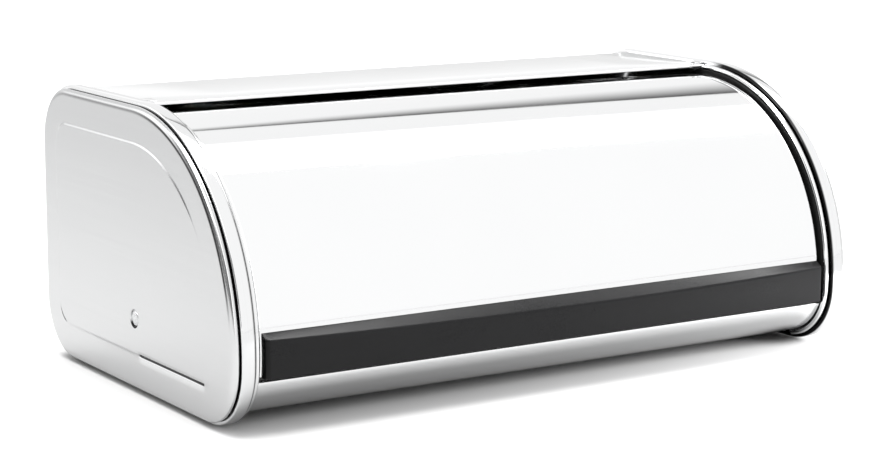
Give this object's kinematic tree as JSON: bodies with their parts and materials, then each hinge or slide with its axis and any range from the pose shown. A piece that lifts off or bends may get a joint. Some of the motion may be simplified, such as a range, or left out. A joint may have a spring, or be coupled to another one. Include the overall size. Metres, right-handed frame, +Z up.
{
  "type": "roll-top bread box",
  "caption": "Wide steel bread box with pressed D-shaped ends and a curved lid that rolls up and back inside the body on two side pivots, pulled by a black bar.",
  "frame": {"origin": "on the surface that the box stands on, under the middle of the box's width and depth", "axes": "+X along the width, towards the right end seen from the front; front towards -Y; +Z up"},
  "size_m": [0.446, 0.2636, 0.1754],
  "materials": {
    "mirror_steel": "mirror-polished stainless sheet",
    "polished_steel": "polished stainless sheet, fine grain along the width",
    "satin_steel": "satin brushed stainless sheet",
    "trim_steel": "bright rolled trim with fine lines along its length",
    "pin_steel": "plain zinc-plated steel",
    "handle_plastic": "satin black, fine grained",
    "guide_plastic": "matt black",
    "bush_plastic": "natural acetal",
    "rubber": "matt rubber"
  },
  "bodies": {
    "box": {"body_shell": "polished_steel", "end_panel_left": "satin_steel", "end_panel_right": "satin_steel", "rim_trim_left": "trim_steel", "rim_trim_right": "trim_steel", "arch_bead_left": "trim_steel", "arch_bead_right": "trim_steel", "lid_guide_left": "guide_plastic", "lid_guide_right": "guide_plastic", "lip_clip_left": "trim_steel", "lip_clip_right": "trim_steel", "pivot_pin_left": "pin_steel", "pivot_pin_right": "pin_steel", "pivot_bush_left": "bush_plastic", "pivot_bush_right": "bush_plastic", "pivot_clip_left": "pin_steel", "pivot_clip_right": "pin_steel", "sill_buffer_left": "rubber", "sill_buffer_right": "rubber", "foot_front_left": "rubber", "foot_front_right": "rubber", "foot_rear_left": "rubber", "foot_rear_right": "rubber"},
    "lid": {"lid_sheet": "mirror_steel", "lid_cheek_left": "satin_steel", "lid_cheek_right": "satin_steel", "handle_bar": "handle_plastic", "handle_screw_1": "pin_steel", "handle_screw_2": "pin_steel", "handle_screw_3": "pin_steel", "handle_screw_4": "pin_steel"}
  },
  "joints": [
    {"name": "lid_roll", "type": "hinge", "parent": "box", "child": "lid", "pos_m": [0, -0.0026, 0.0462], "axis": [-1, 0, 0], "range_deg": [0, 86]}
  ]
}
